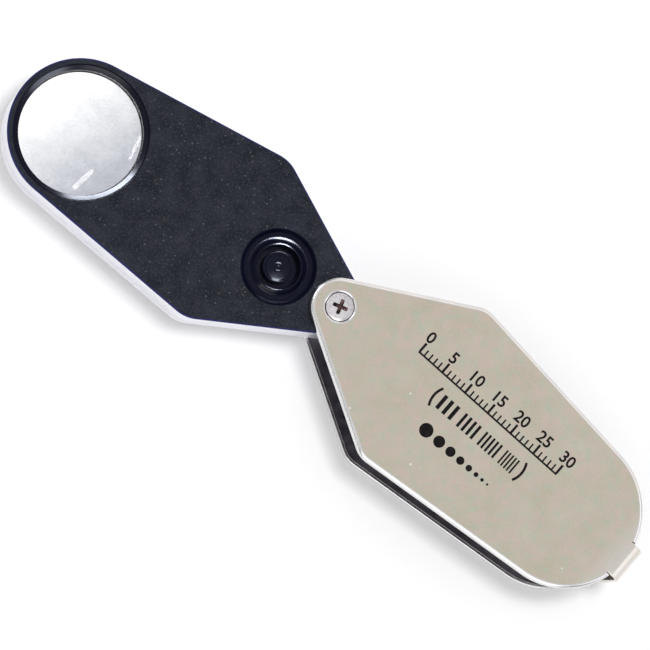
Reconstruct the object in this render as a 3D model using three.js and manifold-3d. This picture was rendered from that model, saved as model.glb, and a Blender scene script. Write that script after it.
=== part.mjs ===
// Folding pocket loupe with a lamp: a lens unit that swings out of a folded sheet-metal case.
// Units are millimetres, with +Z up. The pivot axis is Z, and z = 0 is the outer face of the
// case's back plate. The case lies along +X. The lens unit is drawn along its own +X, as if it
// were folded away, and its group is then swung open about the pivot.

import * as THREE from "three";
import { mergeVertices } from "three/addons/utils/BufferGeometryUtils.js";
import Module from "manifold-3d";

const wasm = await Module();
wasm.setup();

// ---------------------------------------------------------------- driving dimensions

const SWING_DEG = 187.5; // how far the lens unit stands swung out of the case
const RUNNING_GAP = 0.1; // between a shaft and the hole it turns or slides in
const FACE_GAP = 0.05; // between faces that rest on each other

const CASE = {
  thickness: 15,
  sheet: 0.6,
  edgeRadius: 0.7,
  skirt: 1.5, // depth of the turned-down rim, from the plate's outer face
};
// An outline is the hull of circles, listed counter-clockwise from the pivot end.
const CASE_OUTLINE = [
  { x: 0, y: 0, r: 4.85 },
  { x: 19.5, y: -11.55, r: 4.5 },
  { x: 49.8, y: 0, r: 12.9 },
  { x: 19.5, y: 11.55, r: 4.5 },
];
const STRAP = { width: 6.4, reach: 64.2, bendRadius: 1.3, start: 60.6, rootX: 61.2, relief: 0.35 };

const BODY = { bottom: 1.75, top: 13.25, wall: 0.8, floor: 0.9, edgeRadius: 0.35 };
const BODY_OUTLINE = [
  { x: 0, y: 0, r: 4.6 },
  { x: 21.0, y: -9.35, r: 6 },
  { x: 50.4, y: 0, r: 12.15 },
  { x: 21.0, y: 9.35, r: 6 },
];
const FACEPLATE_EDGE = 0.5; // thickness of the faceplate's visible edge
const FACEPLATE_PLUG = 1.0; // how far it plugs into the side frame
const REAR_RIM = 2.55; // height of the rear cover's own rim
const LIP_INSET = 0.95; // the plug and the register lip sit just inside the frame's wall

const LENS = { x: 50.4, radius: 10.5, window: 10.0, edge: 1.0, surfaceRadius: 23 };
const BARREL = { inner: 10.6, outer: 11.25 };
const BEZEL = { mouth: 11.1, throat: 10.35, step: 0.15, depth: 0.9 };

const BUTTON = { x: 11.75, radius: 2.6, flange: 4.3, travel: 0.8 };
const COLLAR = { inner: 3.45, outer: 5.0, flange: 5.5 };
const DISH = { mouth: 6.2, floor: 5.4, depth: 1.05, hole: 5.1 };

const PIVOT = { post: 1.75, bore: 1.85, boss: 3.4, flange: 3.0, spigot: 2.4 };
const PIVOT_SCREW = { head: 2.3, seat: 1.9, rim: 0.1, dome: 0.45, shank: 0.8, tip: 8 };

const CELL = { x: 27, radius: 4.75, height: 2.7, count: 3, firstZ: 3.1 };
const HOLDER = { inner: 4.9, outer: 5.5, bottom: 3.4, top: 11.1 };
const DOOR = { from: 17.6, to: 32.7, halfWidth: 5.4, gap: 0.15, screwX: 19.6 };
const BOARD = { from: 6.4, to: 19.6, halfWidth: 5.5, bottom: 3.9, thickness: 0.8 };
const SWITCH = { size: 6, height: 3.0, plunger: 1.3, boreFloor: 0.9 };
const LED = { x: 34.6, z: 7.2, radius: 1.5, flange: 1.9, length: 4.9, tiltDeg: 18 };
const REAR_SCREWS = [
  [20.5, -10],
  [20.5, 10],
  [36.5, -9.5],
  [36.5, 9.5],
];

// Levels that follow from the dimensions above.
const FACEPLATE_BOTTOM = BODY.top - FACEPLATE_EDGE;
const PLUG_BOTTOM = FACEPLATE_BOTTOM - FACEPLATE_PLUG;
const FLOOR_TOP = BODY.bottom + BODY.floor;
const RIM_TOP = BODY.bottom + REAR_RIM;
const BOARD_TOP = BOARD.bottom + BOARD.thickness;
const SWITCH_TOP = BOARD_TOP + FACE_GAP + SWITCH.height;
const COLLAR_BOTTOM = 10.9;
const CAP_BOTTOM = 10.0;
const LENS_FRONT = PLUG_BOTTOM - FACE_GAP;
const LENS_REAR = 2.95;

// ---------------------------------------------------------------- materials

const COLOURS = {
  nickel: { color: 0xc2bcac, roughness: 0.35, metalness: 1 },
  chrome: { color: 0xe2e2e4, roughness: 0.12, metalness: 1 },
  silver_plating: { color: 0xd8d8dc, roughness: 0.25, metalness: 0.9 },
  satin_black: { color: 0x24262c, roughness: 0.6, metalness: 0 },
  gloss_black: { color: 0x0b0b0e, roughness: 0.2, metalness: 0 },
  glass: { color: 0xf2f4f6, roughness: 0.02, metalness: 0 },
  steel: { color: 0xb8babd, roughness: 0.3, metalness: 1 },
  brass: { color: 0xc9a552, roughness: 0.3, metalness: 1 },
  nylon: { color: 0xe9e6dc, roughness: 0.5, metalness: 0 },
  board_green: { color: 0x1f6b3a, roughness: 0.5, metalness: 0 },
  led_resin: { color: 0xf4f4ea, roughness: 0.1, metalness: 0 },
  wire_red: { color: 0xb02018, roughness: 0.5, metalness: 0 },
};

function piece(name, geometry, colour, x = 0, y = 0, z = 0) {
  const mesh = new THREE.Mesh(geometry, new THREE.MeshStandardMaterial(COLOURS[colour]));
  mesh.name = name;
  mesh.position.set(x, y, z);
  return mesh;
}

// ---------------------------------------------------------------- solids and booleans

function toSolid(geometry) {
  const bare = new THREE.BufferGeometry();
  bare.setAttribute("position", geometry.getAttribute("position").clone());
  if (geometry.index) bare.setIndex(geometry.index.clone());
  const merged = mergeVertices(bare, 1e-4);
  const index = merged.index.array;
  const kept = [];
  for (let i = 0; i < index.length; i += 3) {
    const [a, b, c] = [index[i], index[i + 1], index[i + 2]];
    if (a !== b && b !== c && c !== a) kept.push(a, b, c);
  }
  const mesh = new wasm.Mesh({
    numProp: 3,
    vertProperties: merged.getAttribute("position").array,
    triVerts: new Uint32Array(kept),
  });
  return new wasm.Manifold(mesh);
}

function toGeometry(solid) {
  const mesh = solid.getMesh();
  const geometry = new THREE.BufferGeometry();
  geometry.setAttribute("position", new THREE.BufferAttribute(mesh.vertProperties, 3));
  geometry.setIndex(new THREE.BufferAttribute(mesh.triVerts, 1));
  const flat = geometry.toNonIndexed();
  flat.computeVertexNormals();
  return flat;
}

function cut(geometry, ...tools) {
  const solid = tools.reduce((left, tool) => left.subtract(toSolid(tool)), toSolid(geometry));
  return toGeometry(solid);
}

function join(...geometries) {
  const solids = geometries.map(toSolid);
  return toGeometry(solids.reduce((whole, next) => whole.add(next)));
}

// ---------------------------------------------------------------- basic forms

// Direction of the outward normal on the outer tangent from circle a to circle b.
function tangentAngle(a, b) {
  const distance = Math.hypot(b.x - a.x, b.y - a.y);
  return Math.atan2(b.y - a.y, b.x - a.x) - Math.acos((a.r - b.r) / distance);
}

function hullShape(circles, inset = 0) {
  const shape = new THREE.Shape();
  circles.forEach((circle, i) => {
    const before = circles[(i + circles.length - 1) % circles.length];
    const after = circles[(i + 1) % circles.length];
    const start = tangentAngle(before, circle);
    const turn = (tangentAngle(circle, after) - start + 4 * Math.PI) % (2 * Math.PI);
    shape.absarc(circle.x, circle.y, circle.r - inset, start, start + turn, false);
  });
  return shape;
}

const HULL_SEGMENTS = 6;

// A flat-ended slab of an outline, from z = bottom to z = top.
function slab(circles, inset, bottom, top) {
  const options = { depth: top - bottom, bevelEnabled: false, curveSegments: HULL_SEGMENTS };
  const geometry = new THREE.ExtrudeGeometry(hullShape(circles, inset), options);
  return geometry.translate(0, 0, bottom);
}

// The same with both edges rounded.
function roundedSlab(circles, inset, bottom, top, radius, steps = 3) {
  const geometry = new THREE.ExtrudeGeometry(hullShape(circles, inset), {
    depth: top - bottom - 2 * radius,
    bevelThickness: radius,
    bevelSize: radius,
    bevelOffset: -radius,
    bevelSegments: steps,
    curveSegments: HULL_SEGMENTS,
  });
  return geometry.translate(0, 0, bottom + radius);
}

// A turned form about Z from a profile of [radius, z] points, going round anticlockwise.
function turned(profile, segments = 28) {
  const points = profile.map(([radius, z]) => new THREE.Vector2(radius, z));
  return new THREE.LatheGeometry(points, segments).rotateX(Math.PI / 2);
}

function disc(radius, bottom, top, segments = 28) {
  const profile = [
    [0, bottom],
    [radius, bottom],
    [radius, top],
    [0, top],
  ];
  return turned(profile, segments);
}

function ring(inner, outer, bottom, top, segments = 28) {
  const profile = [
    [inner, bottom],
    [outer, bottom],
    [outer, top],
    [inner, top],
    [inner, bottom],
  ];
  return turned(profile, segments);
}

function block(fromX, toX, fromY, toY, fromZ, toZ) {
  const geometry = new THREE.BoxGeometry(toX - fromX, toY - fromY, toZ - fromZ);
  return geometry.translate((fromX + toX) / 2, (fromY + toY) / 2, (fromZ + toZ) / 2);
}

// A wire through the given points.
function wire(points, radius, sides, steps) {
  const route = new THREE.CatmullRomCurve3(points.map((p) => new THREE.Vector3(...p)));
  const section = new THREE.Shape();
  for (let i = 0; i < sides; i += 1) {
    const angle = (2 * Math.PI * i) / sides;
    const [x, y] = [radius * Math.cos(angle), radius * Math.sin(angle)];
    if (i === 0) section.moveTo(x, y);
    else section.lineTo(x, y);
  }
  return new THREE.ExtrudeGeometry(section, { extrudePath: route, steps, bevelEnabled: false });
}

// A countersunk screw standing point up, with its head's flat face at z = 0.
function countersunkScrew(head, shank, length) {
  const headHeight = head - shank;
  const profile = [
    [0, 0],
    [head, 0],
    [head, 0.15],
    [shank, headHeight],
    [shank, length - shank],
    [0, length],
  ];
  return cut(turned(profile, 16), ...crossRecess(head * 0.62, head * 0.2, -1, 0.35));
}

// Two bars that cut a cross-shaped recess between two levels.
function crossRecess(reach, halfWidth, bottom, top) {
  return [
    block(-reach, reach, -halfWidth, halfWidth, bottom, top),
    block(-halfWidth, halfWidth, -reach, reach, bottom, top),
  ];
}

// ---------------------------------------------------------------- case

// One plate of the case: a flat face with a rounded edge and a turned-down rim.
function coverShell() {
  const top = CASE.thickness;
  const rim = top - CASE.skirt;
  const below = rim - 2;
  const outer = roundedSlab(CASE_OUTLINE, 0, below, top, CASE.edgeRadius);
  const inner = roundedSlab(CASE_OUTLINE, CASE.sheet, below, top - CASE.sheet, 0.3, 2);
  const strapEdge = STRAP.width / 2 + STRAP.relief;
  return cut(
    outer,
    inner,
    block(-20, 80, -30, 30, below - 1, rim),
    block(STRAP.rootX, 80, -strapEdge, strapEdge, below, top + 1),
  );
}

// The strap that the plates are folded about, as a bent strip across the far end.
function strap() {
  const { reach, start, bendRadius: bend, width } = STRAP;
  const { thickness: top, sheet } = CASE;
  const profile = new THREE.Shape();
  profile.moveTo(start, 0);
  profile.absarc(reach - bend, bend, bend, -Math.PI / 2, 0, false);
  profile.absarc(reach - bend, top - bend, bend, 0, Math.PI / 2, false);
  profile.lineTo(start, top);
  profile.lineTo(start, top - sheet);
  profile.absarc(reach - bend, top - bend, bend - sheet, Math.PI / 2, 0, true);
  profile.absarc(reach - bend, bend, bend - sheet, 0, -Math.PI / 2, true);
  profile.lineTo(start, sheet);
  const options = { depth: width, bevelEnabled: false, curveSegments: 3 };
  const geometry = new THREE.ExtrudeGeometry(profile, options);
  return geometry.rotateX(Math.PI / 2).translate(0, width / 2, 0);
}

function coverCase() {
  const front = coverShell();
  const back = coverShell().rotateX(Math.PI).translate(0, 0, CASE.thickness);
  const seat = PIVOT_SCREW.seat + RUNNING_GAP;
  const sheetBottom = CASE.thickness - CASE.sheet;
  const screwHole = turned([
    [0, sheetBottom - 1],
    [seat, sheetBottom - 1],
    [seat, sheetBottom],
    [seat + CASE.sheet, CASE.thickness],
    [seat + CASE.sheet, CASE.thickness + 1],
    [0, CASE.thickness + 1],
  ]);
  const spigotHole = disc(PIVOT.spigot + FACE_GAP, -1, 1);
  return cut(join(front, strap(), back), screwHole, spigotHole);
}

// The shouldered post, riveted flush into the back plate and tapped for the screw.
function pivotPost() {
  const flangeBottom = CASE.sheet + FACE_GAP;
  const flangeTop = flangeBottom + 0.55;
  const top = CASE.thickness - CASE.sheet - FACE_GAP;
  const tapped = PIVOT_SCREW.shank + FACE_GAP;
  return turned([
    [0, 0],
    [PIVOT.spigot, 0],
    [PIVOT.spigot, flangeBottom],
    [PIVOT.flange, flangeBottom],
    [PIVOT.flange, flangeTop],
    [PIVOT.post, flangeTop],
    [PIVOT.post, top],
    [tapped, top],
    [tapped, PIVOT_SCREW.tip - 1],
    [0, PIVOT_SCREW.tip - 1],
  ]);
}

// The screw, with a countersunk head that is domed on top and sits in the front plate.
function pivotScrew() {
  const { head, seat, rim, dome, shank, tip } = PIVOT_SCREW;
  const neck = CASE.thickness - CASE.sheet;
  const rimTop = neck + (head - seat) + rim;
  const domeRadius = (dome ** 2 + head ** 2) / (2 * dome);
  const centre = rimTop + dome - domeRadius;
  const profile = [
    [0, tip],
    [shank, tip + 0.3],
    [shank, neck],
    [seat, neck],
    [head, rimTop - rim],
    [head, rimTop],
  ];
  const steps = 4;
  for (let i = 1; i < steps; i += 1) {
    const r = head * (1 - i / steps);
    profile.push([r, centre + Math.sqrt(domeRadius ** 2 - r ** 2)]);
  }
  profile.push([0, rimTop + dome]);
  const slots = crossRecess(1.35, 0.25, rimTop - 0.15, rimTop + dome + 1);
  return cut(turned(profile, 36), ...slots);
}

function caseGroup() {
  const group = new THREE.Group();
  const washer = PIVOT.bore;
  const rearWasherZ = CASE.sheet + 2 * FACE_GAP + 0.55;
  const waveZ = BODY.top + FACE_GAP;
  const frontWasherTop = CASE.thickness - CASE.sheet - FACE_GAP;
  group.add(
    piece("cover_case", coverCase(), "nickel"),
    piece("pivot_post", pivotPost(), "steel"),
    piece("pivot_screw", pivotScrew(), "chrome"),
    piece("rear_washer", ring(washer, 3.4, 0, 0.45, 24), "nylon", 0, 0, rearWasherZ),
    piece("wave_washer", ring(washer, 3.3, 0, 0.4, 24), "steel", 0, 0, waveZ),
    piece("front_washer", ring(washer, 3.4, waveZ + 0.45, frontWasherTop, 24), "nylon"),
  );
  return group;
}

// ---------------------------------------------------------------- housing of the lens unit

function screwBosses() {
  return REAR_SCREWS.map(([x, y]) => disc(1.7, FLOOR_TOP + 0.35, PLUG_BOTTOM + 0.3, 16).translate(x, y, 0));
}

function frontCover() {
  const plate = roundedSlab(BODY_OUTLINE, 0, PLUG_BOTTOM - 2, BODY.top, BODY.edgeRadius, 2);
  const trimmed = cut(plate, block(-20, 80, -30, 30, PLUG_BOTTOM - 3, FACEPLATE_BOTTOM));
  const plug = slab(BODY_OUTLINE, LIP_INSET, PLUG_BOTTOM, FACEPLATE_BOTTOM + 0.1);
  const blank = join(trimmed, plug, ...screwBosses());
  const bezelFloor = BODY.top - BEZEL.depth;
  const window = turned(
    [
      [0, PLUG_BOTTOM - 1],
      [LENS.window, PLUG_BOTTOM - 1],
      [LENS.window, bezelFloor - BEZEL.step],
      [BEZEL.throat, bezelFloor],
      [BEZEL.mouth, BODY.top],
      [BEZEL.mouth, BODY.top + 1],
      [0, BODY.top + 1],
    ],
    48,
  );
  const dish = turned([
    [0, PLUG_BOTTOM - 1],
    [DISH.hole, PLUG_BOTTOM - 1],
    [DISH.hole, BODY.top - DISH.depth],
    [DISH.floor, BODY.top - DISH.depth],
    [DISH.mouth - 0.25, BODY.top - 0.45],
    [DISH.mouth, BODY.top],
    [DISH.mouth, BODY.top + 1],
    [0, BODY.top + 1],
  ]);
  const pivotHole = disc(PIVOT.bore, PLUG_BOTTOM - 1, BODY.top + 1, 24);
  const pilots = REAR_SCREWS.map(([x, y]) => disc(0.75, 2, 9.6, 10).translate(x, y, 0));
  return cut(
    blank,
    window.translate(LENS.x, 0, 0),
    dish.translate(BUTTON.x, 0, 0),
    pivotHole,
    ...pilots,
  );
}

function sideFrame() {
  const bottom = RIM_TOP + FACE_GAP;
  const top = FACEPLATE_BOTTOM - FACE_GAP;
  const outer = slab(BODY_OUTLINE, 0, bottom, top);
  return cut(outer, slab(BODY_OUTLINE, BODY.wall, bottom - 1, top + 1));
}

// A round bar on the lamp's axis, between two distances from the lamp's base.
function barAlongLed(radius, from, to) {
  return placeAlongLed(disc(radius, from, to, 16));
}

// Puts a form drawn along +Z from the lamp's base onto the lamp's slanted axis.
function placeAlongLed(geometry) {
  const tilt = THREE.MathUtils.degToRad(LED.tiltDeg);
  return geometry.rotateY(Math.PI - tilt).translate(LED.x, 0, LED.z);
}

function rearCover() {
  const shell = cut(
    roundedSlab(BODY_OUTLINE, 0, BODY.bottom, RIM_TOP + 2, 0.4, 2),
    block(-20, 80, -30, 30, RIM_TOP, RIM_TOP + 3),
    slab(BODY_OUTLINE, 1.5, FLOOR_TOP, RIM_TOP + 4),
  );
  const lip = cut(
    slab(BODY_OUTLINE, LIP_INSET, RIM_TOP - 0.5, RIM_TOP + 0.8),
    slab(BODY_OUTLINE, 1.5, RIM_TOP - 1, RIM_TOP + 1),
  );
  const boss = disc(PIVOT.boss, FLOOR_TOP - 0.2, PLUG_BOTTOM - FACE_GAP, 24);
  const ledge = block(15.5, 21, -4, 4, FLOOR_TOP - 0.2, BOARD.bottom - FACE_GAP);
  const posts = [];
  for (const x of [8.2, 14.2]) {
    for (const y of [-4.4, 4.4]) {
      posts.push(disc(0.9, FLOOR_TOP - 0.2, BOARD.bottom - FACE_GAP, 10).translate(x, y, 0));
    }
  }
  const sleeve = cut(barAlongLed(2.3, 1.1, 6.2), block(20, 50, -10, 10, -5, BODY.bottom + 0.3));
  const solid = join(shell, lip, boss, ledge, sleeve, ...posts);
  const { from, to, halfWidth, gap, screwX } = DOOR;
  const opening = block(
    from - gap,
    to + gap,
    -halfWidth - gap,
    halfWidth + gap,
    BODY.bottom - 1,
    FLOOR_TOP,
  );
  const screwHoles = REAR_SCREWS.map(([x, y]) =>
    turned(
      [
        [0, 1],
        [1.65, 1],
        [1.65, BODY.bottom + 0.2],
        [0.85, BODY.bottom + 1.0],
        [0.85, 4],
        [0, 4],
      ],
      16,
    ).translate(x, y, 0),
  );
  return cut(
    solid,
    disc(BARREL.outer + RUNNING_GAP, FLOOR_TOP, RIM_TOP + 3, 48).translate(LENS.x, 0, 0),
    disc(LENS.window, 0, FLOOR_TOP + 1, 48).translate(LENS.x, 0, 0),
    disc(PIVOT.bore, 0, PLUG_BOTTOM + 1, 24),
    opening,
    disc(0.6, 2, 5, 10).translate(screwX, 0, 0),
    barAlongLed(LED.radius + 0.2, 0, 9),
    ...screwHoles,
  );
}

function batteryDoor() {
  const top = FLOOR_TOP - FACE_GAP;
  const { from, to, halfWidth, screwX } = DOOR;
  const plate = block(from, to, -halfWidth, halfWidth, BODY.bottom, top);
  const tongue = block(to - 0.7, to + 0.4, -3, 3, top - 0.2, top + 0.7);
  const tongueRelief = block(to, to + 2, -4, 4, BODY.bottom - 1, top + 0.1);
  const countersink = turned(
    [
      [0, 1],
      [1.4, 1],
      [1.4, BODY.bottom + 0.2],
      [0.75, BODY.bottom + 0.85],
      [0.75, 4],
      [0, 4],
    ],
    16,
  );
  return cut(join(plate, tongue), tongueRelief, countersink.translate(screwX, 0, 0));
}

// ---------------------------------------------------------------- optics

// A plano-convex lens with its flat face at z = 0 and its curved face up.
function lens() {
  const { radius, edge, surfaceRadius } = LENS;
  const centre = edge - Math.sqrt(surfaceRadius ** 2 - radius ** 2);
  const steps = 4;
  const profile = [
    [0, 0],
    [radius, 0],
  ];
  for (let i = 0; i < steps; i += 1) {
    const r = radius * (1 - i / steps);
    profile.push([r, centre + Math.sqrt(surfaceRadius ** 2 - r ** 2)]);
  }
  profile.push([0, centre + surfaceRadius]);
  return turned(profile, 48);
}

function opticsPieces() {
  const barrelBottom = FLOOR_TOP + FACE_GAP;
  const curveRise = 0.3; // the lenses' curved faces stand this far above their edges at the spacer
  const spacerBottom = LENS_REAR + 0.35 + LENS.edge + curveRise;
  const spacerTop = LENS_FRONT - LENS.edge - curveRise;
  const frontLens = piece("front_lens", lens(), "glass", LENS.x, 0, LENS_FRONT);
  frontLens.rotation.x = Math.PI;
  const barrel = ring(BARREL.inner, BARREL.outer, barrelBottom, LENS_FRONT, 48);
  const spacer = ring(LENS.window, LENS.radius, spacerBottom, spacerTop, 48);
  const retainer = ring(9.7, LENS.radius, barrelBottom, LENS_REAR + 0.3, 48);
  return [
    frontLens,
    piece("rear_lens", lens(), "glass", LENS.x, 0, LENS_REAR + 0.35),
    piece("lens_barrel", barrel, "gloss_black", LENS.x),
    piece("lens_spacer", spacer, "gloss_black", LENS.x),
    piece("retaining_ring", retainer, "gloss_black", LENS.x),
  ];
}

// ---------------------------------------------------------------- lamp circuit

function collar() {
  const { inner, outer, flange } = COLLAR;
  const crest = BODY.top - 0.1;
  return turned([
    [inner, COLLAR_BOTTOM],
    [flange, COLLAR_BOTTOM],
    [flange, PLUG_BOTTOM - FACE_GAP],
    [outer, PLUG_BOTTOM - FACE_GAP],
    [outer, crest - 0.8],
    [outer - 0.2, crest - 0.3],
    [outer - 0.65, crest],
    [outer - 1.05, crest - 0.12],
    [inner, crest - 0.65],
    [inner, COLLAR_BOTTOM],
  ]);
}

function switchBody() {
  const half = SWITCH.size / 2;
  const box = block(-half, half, -half, half, 0, SWITCH.height);
  return cut(box, disc(SWITCH.plunger + RUNNING_GAP, SWITCH.boreFloor, SWITCH.height + 1, 20));
}

function led() {
  const { radius, flange, length } = LED;
  const domeStart = length - radius;
  const profile = [
    [0, 0],
    [flange, 0],
    [flange, 0.8],
    [radius, 0.8],
    [radius, domeStart],
  ];
  const steps = 4;
  for (let i = 1; i < steps; i += 1) {
    const angle = (Math.PI / 2) * (i / steps);
    profile.push([radius * Math.cos(angle), domeStart + radius * Math.sin(angle)]);
  }
  profile.push([0, length]);
  return turned(profile, 20);
}

// The strip that presses on the top cell and runs down to the board.
function positiveContact() {
  const [left, right, thick] = [18.0, 29.5, 0.3];
  const top = PLUG_BOTTOM - 0.15;
  const profile = new THREE.Shape();
  profile.moveTo(left, BOARD_TOP + FACE_GAP);
  profile.lineTo(left + thick, BOARD_TOP + FACE_GAP);
  profile.lineTo(left + thick, top - thick);
  profile.lineTo(right, top - thick);
  profile.lineTo(right, top);
  profile.lineTo(left, top);
  const geometry = new THREE.ExtrudeGeometry(profile, { depth: 3, bevelEnabled: false });
  return geometry.rotateX(Math.PI / 2).translate(0, 1.5, 0);
}

// The strip under the bottom cell, turned up beside the holder.
function negativeContact() {
  const [near, far, thick] = [-3.5, 6.3, 0.3];
  const bottom = FLOOR_TOP + FACE_GAP;
  const leaf = block(-1.5, 1.5, near, far, bottom, bottom + thick);
  const upright = block(-1.5, 1.5, far - thick, far, bottom, 7.6);
  return join(leaf, upright);
}

function circuitPieces() {
  const boardBottom = BOARD.bottom;
  const board = block(
    BOARD.from,
    BOARD.to,
    -BOARD.halfWidth,
    BOARD.halfWidth,
    boardBottom,
    BOARD_TOP,
  );
  const resistor = block(-0.8, 0.8, -1.6, 1.6, 0, 0.6);
  const lamp = piece("led", led(), "led_resin", LED.x, 0, LED.z);
  lamp.rotation.y = Math.PI - THREE.MathUtils.degToRad(LED.tiltDeg);
  const holder = ring(HOLDER.inner, HOLDER.outer, HOLDER.bottom, HOLDER.top, 24);
  const list = [
    piece("circuit_board", board, "board_green"),
    piece("switch_body", switchBody(), "gloss_black", BUTTON.x, 0, BOARD_TOP + FACE_GAP),
    piece("resistor", resistor, "steel", 16.6, -2.8, BOARD_TOP + FACE_GAP),
    lamp,
    piece("battery_holder", holder, "gloss_black", CELL.x),
    piece("positive_contact", positiveContact(), "brass"),
    piece("negative_contact", negativeContact(), "brass", CELL.x),
  ];
  for (let i = 0; i < CELL.count; i += 1) {
    const z = CELL.firstZ + i * (CELL.height + 0.03);
    list.push(piece(`button_cell_${i + 1}`, disc(CELL.radius, 0, CELL.height), "steel", CELL.x, 0, z));
  }
  for (const side of [-1, 1]) {
    const route = [
      [33.9, side * 0.7, 7.6],
      [33.6, side * 3.4, 8.6],
      [30.4, side * 7.2, 8.6],
      [24.0, side * 7.6, 7.6],
      [20.6, side * 5.0, 6.2],
      [18.9, side * 4.2, BOARD_TOP + 0.4],
    ];
    const name = side < 0 ? "led_wire_1" : "led_wire_2";
    list.push(piece(name, wire(route, 0.35, 6, 16), side < 0 ? "gloss_black" : "wire_red"));
  }
  return list;
}

// ---------------------------------------------------------------- push button

function buttonCap() {
  const { radius, flange } = BUTTON;
  const top = BODY.top - 0.25;
  return turned([
    [0, CAP_BOTTOM],
    [flange, CAP_BOTTOM],
    [flange, COLLAR_BOTTOM - RUNNING_GAP],
    [radius, COLLAR_BOTTOM - RUNNING_GAP],
    [radius, top - 0.25],
    [radius - 0.25, top],
    [radius - 0.6, top - 0.12],
    [0, top - 0.35],
  ]);
}

// A compression spring round the plunger, with its wire's centre on a helix.
function buttonSpring() {
  const { wireRadius, coilRadius, turns } = { wireRadius: 0.2, coilRadius: 2.1, turns: 3 };
  const bottom = SWITCH_TOP + FACE_GAP + wireRadius;
  const top = CAP_BOTTOM - FACE_GAP - wireRadius;
  const perTurn = 12;
  const points = [];
  for (let i = 0; i <= turns * perTurn; i += 1) {
    const angle = (2 * Math.PI * i) / perTurn;
    const z = bottom + ((top - bottom) * i) / (turns * perTurn);
    points.push([coilRadius * Math.cos(angle), coilRadius * Math.sin(angle), z]);
  }
  return wire(points, wireRadius, 5, turns * 14);
}

function buttonPieces() {
  const plungerBottom = SWITCH_TOP - 1.0;
  const plunger = disc(SWITCH.plunger, plungerBottom, CAP_BOTTOM - FACE_GAP, 20);
  return [
    piece("button_cap", buttonCap(), "gloss_black", BUTTON.x),
    piece("switch_plunger", plunger, "nylon", BUTTON.x),
    piece("button_spring", buttonSpring(), "steel", BUTTON.x),
  ];
}

// ---------------------------------------------------------------- assembly

function lensUnitGroup() {
  const group = new THREE.Group();
  group.add(
    piece("front_cover", frontCover(), "satin_black"),
    piece("side_frame", sideFrame(), "silver_plating"),
    piece("rear_cover", rearCover(), "silver_plating"),
    piece("battery_door", batteryDoor(), "silver_plating"),
    piece("button_collar", collar(), "gloss_black", BUTTON.x),
    ...opticsPieces(),
    ...circuitPieces(),
    ...buttonPieces(),
  );
  REAR_SCREWS.forEach(([x, y], i) => {
    const screw = countersunkScrew(1.5, 0.7, 6);
    group.add(piece(`rear_screw_${i + 1}`, screw, "chrome", x, y, BODY.bottom + 0.1));
  });
  const doorScrew = countersunkScrew(1.25, 0.55, 2.0);
  group.add(piece("door_screw", doorScrew, "chrome", DOOR.screwX, 0, BODY.bottom + 0.1));
  group.rotation.z = THREE.MathUtils.degToRad(SWING_DEG);
  return group;
}

const loupe = new THREE.Group();
loupe.add(caseGroup(), lensUnitGroup());

export default loupe;
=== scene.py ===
"""Looks of the folding pocket loupe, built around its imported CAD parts.

Lengths are written in millimetres and turned into metres where a mesh is made. Pieces of the lens
unit are drawn along their own +X, from the pivot to the lens, and their mesh is then turned to
where the unit stands.
"""

import math

import bmesh
import bpy
from mathutils import Matrix, Vector


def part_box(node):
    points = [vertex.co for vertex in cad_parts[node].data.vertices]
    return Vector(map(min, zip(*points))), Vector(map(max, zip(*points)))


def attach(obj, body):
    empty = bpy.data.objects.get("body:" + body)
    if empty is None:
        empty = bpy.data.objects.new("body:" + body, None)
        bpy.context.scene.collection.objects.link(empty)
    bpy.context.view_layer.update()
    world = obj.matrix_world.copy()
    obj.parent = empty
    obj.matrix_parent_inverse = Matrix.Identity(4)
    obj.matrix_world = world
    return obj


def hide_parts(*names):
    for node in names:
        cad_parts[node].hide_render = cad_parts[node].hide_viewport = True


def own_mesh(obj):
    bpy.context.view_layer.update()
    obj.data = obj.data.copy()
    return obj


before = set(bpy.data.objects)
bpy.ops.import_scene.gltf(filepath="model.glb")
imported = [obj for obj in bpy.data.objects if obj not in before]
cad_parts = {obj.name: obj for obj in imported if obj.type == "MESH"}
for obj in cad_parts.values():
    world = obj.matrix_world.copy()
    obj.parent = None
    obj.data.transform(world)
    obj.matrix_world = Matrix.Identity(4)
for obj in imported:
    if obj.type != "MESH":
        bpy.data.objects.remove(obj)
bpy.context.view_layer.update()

MM = 0.001
TAU = 2 * math.pi


# ---------- measures read from the frame


def box_mm(node):
    lo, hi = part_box(node)
    return lo / MM, hi / MM


CASE_TOP = box_mm("cover_case")[1].z
STRAP_REACH = box_mm("cover_case")[1].x
PLATE_TOP = box_mm("front_cover")[1].z
PLATE_BOTTOM = box_mm("front_cover")[0].z
BAND_LOW, BAND_HIGH = (corner.z for corner in box_mm("side_frame"))
SHELL_BOTTOM = box_mm("rear_cover")[0].z
SCREW_TOP = box_mm("pivot_screw")[1].z
LENS_FRONT = box_mm("front_lens")[1].z
LENS_REAR = box_mm("rear_lens")[0].z
CAP_LOW, CAP_TOP = (corner.z for corner in box_mm("button_cap"))


def centre_mm(node):
    lo, hi = box_mm(node)
    return (lo + hi) / 2


LENS_CENTRE = centre_mm("lens_barrel")
SWING = math.atan2(LENS_CENTRE.y, LENS_CENTRE.x)
LENS_X = math.hypot(LENS_CENTRE.x, LENS_CENTRE.y)
BUTTON_X = math.hypot(centre_mm("button_cap").x, centre_mm("button_cap").y)
OPENED = Matrix.Rotation(SWING, 4, "Z")


def local_mm(node):
    """Centre of a lens-unit node in the unit's own frame."""
    return OPENED.inverted() @ centre_mm(node)


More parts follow.
